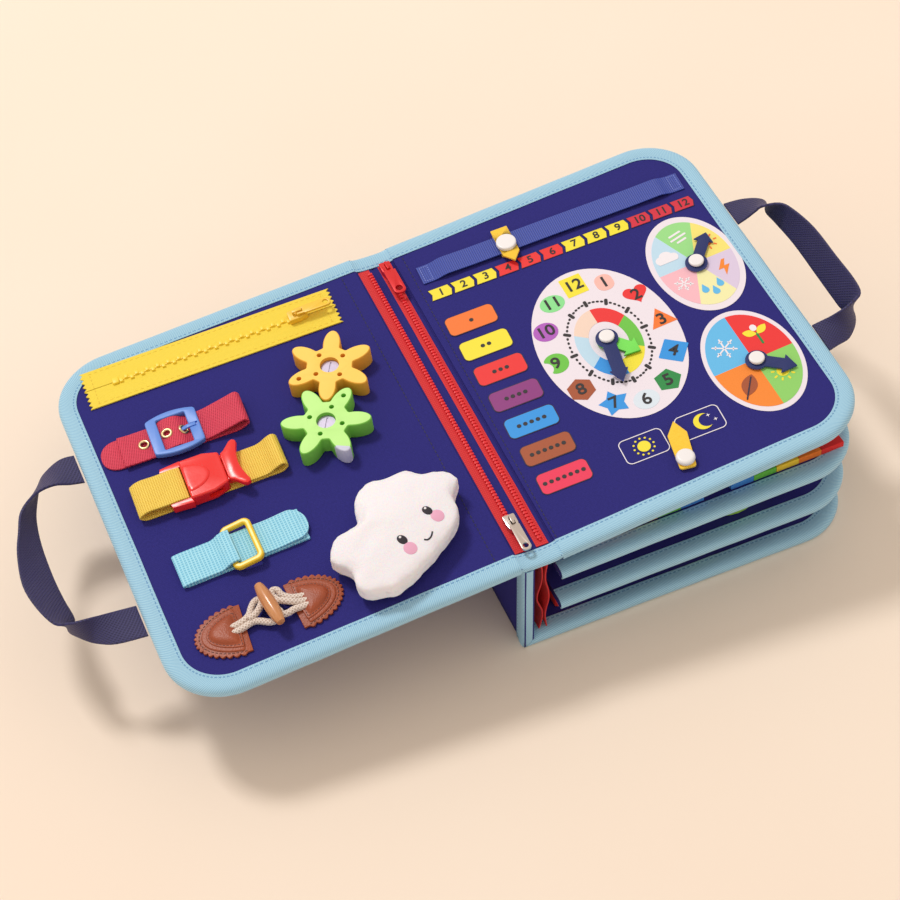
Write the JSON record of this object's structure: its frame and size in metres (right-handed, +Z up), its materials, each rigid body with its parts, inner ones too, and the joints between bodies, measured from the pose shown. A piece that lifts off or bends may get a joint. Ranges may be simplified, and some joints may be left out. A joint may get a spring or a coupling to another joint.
{
  "type": "fabric activity book",
  "caption": "soft busy board book with stiff bound leaves, carry handles, practice fasteners, meshing foam gears and a clock and calendar page",
  "frame": {"origin": "middle of the back cover's underside, on the surface it lies on", "axes": "+Z up, +Y along the spine towards the back edge, +X from the spine to the leaves' outer edge; the opened front cover points to -X"},
  "size_m": [0.5938, 0.29, 0.1243],
  "materials": {
    "navy_cloth": "woven polyester over felt",
    "binding_tape": "twill binding tape",
    "foam_board": "foam stiffener",
    "navy_webbing": "twill webbing",
    "red_zip": "zip tape and coil",
    "red_enamel": "enamelled zip slider",
    "silver_metal": "plated die-cast metal",
    "yellow_zip": "zip tape",
    "yellow_teeth": "moulded teeth",
    "yellow_enamel": "enamelled zip slider",
    "red_webbing": "nylon webbing",
    "eyelet_metal": "pressed eyelets",
    "blue_plastic": "moulded",
    "yellow_webbing": "nylon webbing",
    "red_plastic": "moulded",
    "sky_webbing": "nylon webbing",
    "yellow_plastic": "moulded",
    "brown_leather": "stitched patches",
    "cotton_cord": "braided cord",
    "toggle_wood": "varnished",
    "yellow_foam": "cut foam",
    "green_foam": "cut foam",
    "gear_rivet_metal": "slotted disc",
    "white_plush": "short plush",
    "blue_ribbon": "grosgrain",
    "yellow_felt": "felt",
    "navy_felt": "felt",
    "green_felt": "felt",
    "white_plastic": "rivet heads",
    "inner_felts": "cut felt in several colours"
  },
  "bodies": {
    "root": {"back_cover_board": "foam_board", "back_cover_cloth": "navy_cloth", "back_cover_binding": "binding_tape", "spine_panel": "navy_cloth", "spine_binding": "binding_tape", "gutter_strip": "navy_cloth", "gutter_binding": "binding_tape", "gutter_zip_left": "red_zip", "gutter_zip_right": "red_zip", "leaf_zip_tapes": "red_zip", "back_cover_felts": "inner_felts"},
    "page_3": {"page_3_board": "foam_board", "page_3_cloth": "navy_cloth", "page_3_binding": "binding_tape", "page_3_felts": "inner_felts"},
    "page_2": {"page_2_board": "foam_board", "page_2_cloth": "navy_cloth", "page_2_binding": "binding_tape", "page_2_felts": "inner_felts"},
    "page_1": {"page_1_board": "foam_board", "page_1_cloth": "navy_cloth", "page_1_binding": "binding_tape", "month_ribbon": "blue_ribbon", "hand_rivets": "white_plastic"},
    "cover": {"cover_board": "foam_board", "cover_cloth": "navy_cloth", "cover_binding": "binding_tape", "yellow_zip_tapes": "yellow_zip", "yellow_zip_teeth": "yellow_teeth", "belt_strap": "red_webbing", "belt_tab": "red_webbing", "belt_eyelets": "eyelet_metal", "buckle_frame": "blue_plastic", "clip_webbing": "yellow_webbing", "clip_socket": "red_plastic", "loop_strap": "sky_webbing", "toggle_patches": "brown_leather", "toggle_cords": "cotton_cord", "gear_rivets": "gear_rivet_metal", "plush_cloud": "white_plush"},
    "yellow_slider": {"yellow_slider": "yellow_enamel"},
    "yellow_pull": {"yellow_pull": "yellow_enamel"},
    "red_slider": {"red_slider": "red_enamel"},
    "red_pull": {"red_pull": "red_enamel"},
    "silver_slider": {"silver_slider": "silver_metal"},
    "silver_pull": {"silver_pull": "silver_metal"},
    "buckle_tongue": {"buckle_tongue": "blue_plastic"},
    "clip_plug": {"clip_plug": "red_plastic"},
    "strap_ring": {"strap_ring": "yellow_plastic"},
    "toggle_bar": {"toggle_bar": "toggle_wood"},
    "yellow_gear": {"yellow_gear": "yellow_foam"},
    "green_gear": {"green_gear": "green_foam"},
    "month_pointer": {"month_pointer": "yellow_felt"},
    "hour_hand": {"hour_hand": "green_felt"},
    "minute_hand": {"minute_hand": "navy_felt"},
    "weather_hand": {"weather_hand": "navy_felt"},
    "season_hand": {"season_hand": "navy_felt"},
    "day_night_pointer": {"day_night_pointer": "yellow_felt"},
    "cover_handle": {"cover_handle": "navy_webbing"},
    "page_handle": {"page_handle": "navy_webbing"}
  },
  "joints": [
    {"name": "cover_fold", "type": "hinge", "parent": "root", "child": "cover", "pos_m": [-0.132, 0, 0.088], "axis": [0, -1, 0], "range_deg": [-115, 7]},
    {"name": "page_3_turn", "type": "hinge", "parent": "root", "child": "page_3", "pos_m": [-0.104, 0, 0.088], "axis": [0, -1, 0], "range_deg": [0, 8]},
    {"name": "page_2_turn", "type": "hinge", "parent": "page_3", "child": "page_2", "pos_m": [-0.104, 0, 0.088], "axis": [0, -1, 0], "range_deg": [0, 14]},
    {"name": "page_1_turn", "type": "hinge", "parent": "page_2", "child": "page_1", "pos_m": [-0.104, 0, 0.088], "axis": [0, -1, 0], "range_deg": [0, 82]},
    {"name": "yellow_zip_slide", "type": "slide", "parent": "cover", "child": "yellow_slider", "axis": [0.995, -0.0454, 0.0888], "range_m": [-0.12, 0]},
    {"name": "yellow_pull_swing", "type": "hinge", "parent": "yellow_slider", "child": "yellow_pull", "pos_m": [-0.1825, 0.11119, 0.09067], "axis": [-0.0452, -0.999, -0.004], "range_deg": [0, 178]},
    {"name": "red_zip_slide", "type": "slide", "parent": "root", "child": "red_slider", "axis": [0, 1, 0], "range_m": [-0.235, 0]},
    {"name": "red_pull_swing", "type": "hinge", "parent": "red_slider", "child": "red_pull", "pos_m": [-0.1116, 0.124, 0.09235], "axis": [-1, 0, 0], "range_deg": [0, 178]},
    {"name": "silver_zip_slide", "type": "slide", "parent": "root", "child": "silver_slider", "axis": [0, 1, 0], "range_m": [-0.01, 0.22]},
    {"name": "silver_pull_swing", "type": "hinge", "parent": "silver_slider", "child": "silver_pull", "pos_m": [-0.1233, -0.1105, 0.09235], "axis": [-1, 0, 0], "range_deg": [0, 178]},
    {"name": "buckle_tongue_lift", "type": "hinge", "parent": "cover", "child": "buckle_tongue", "pos_m": [-0.29059, 0.05408, 0.07746], "axis": [-0.0556, -0.9984, -0.005], "range_deg": [0, 14]},
    {"name": "clip_release", "type": "slide", "parent": "cover", "child": "clip_plug", "axis": [0.9949, -0.0471, 0.0888], "range_m": [0, 0.016]},
    {"name": "ring_lift", "type": "hinge", "parent": "cover", "child": "strap_ring", "pos_m": [-0.28874, -0.04972, 0.07813], "axis": [-0.0104, -0.9999, -0.0009], "range_deg": [0, 60]},
    {"name": "toggle_turn", "type": "hinge", "parent": "cover", "child": "toggle_bar", "pos_m": [-0.28134, -0.103, 0.08511], "axis": [-0.0889, 0, 0.996], "range_deg": [-20, 20]},
    {"name": "yellow_gear_spin", "type": "hinge", "parent": "cover", "child": "yellow_gear", "pos_m": [-0.18073, 0.0525, 0.09068], "axis": [-0.0889, 0, 0.996], "continuous": true},
    {"name": "green_gear_spin", "type": "hinge", "parent": "cover", "child": "green_gear", "pos_m": [-0.19956, 0.0104, 0.089], "axis": [-0.0889, 0, 0.996], "continuous": true},
    {"name": "month_slide", "type": "slide", "parent": "page_1", "child": "month_pointer", "axis": [0.9925, -0.0471, 0.1131], "range_m": [-0.04, 0.108]},
    {"name": "hour_hand_turn", "type": "hinge", "parent": "page_1", "child": "hour_hand", "pos_m": [-0.00705, -0.0062, 0.10106], "axis": [-0.1132, 0, 0.9936], "continuous": true},
    {"name": "minute_hand_turn", "type": "hinge", "parent": "page_1", "child": "minute_hand", "pos_m": [-0.00705, -0.0062, 0.10106], "axis": [-0.1132, 0, 0.9936], "continuous": true},
    {"name": "weather_hand_turn", "type": "hinge", "parent": "page_1", "child": "weather_hand", "pos_m": [0.07482, 0.0251, 0.11039], "axis": [-0.1132, 0, 0.9936], "continuous": true},
    {"name": "season_hand_turn", "type": "hinge", "parent": "page_1", "child": "season_hand", "pos_m": [0.07054, -0.0688, 0.1099], "axis": [-0.1132, 0, 0.9936], "continuous": true},
    {"name": "day_night_turn", "type": "hinge", "parent": "page_1", "child": "day_night_pointer", "pos_m": [-0.00596, -0.1178, 0.10118], "axis": [-0.1132, 0, 0.9936], "range_deg": [-50, 50]},
    {"name": "cover_handle_swing", "type": "hinge", "parent": "cover", "child": "cover_handle", "pos_m": [-0.35351, 0, 0.06472], "axis": [0, -1, 0], "range_deg": [-35, 20]},
    {"name": "page_handle_swing", "type": "hinge", "parent": "page_1", "child": "page_handle", "pos_m": [0.11767, 0, 0.10973], "axis": [0, -1, 0], "range_deg": [-35, 35]}
  ],
  "couplings": [
    {"joint": "green_gear_spin", "follows": "yellow_gear_spin", "ratio": -1}
  ]
}
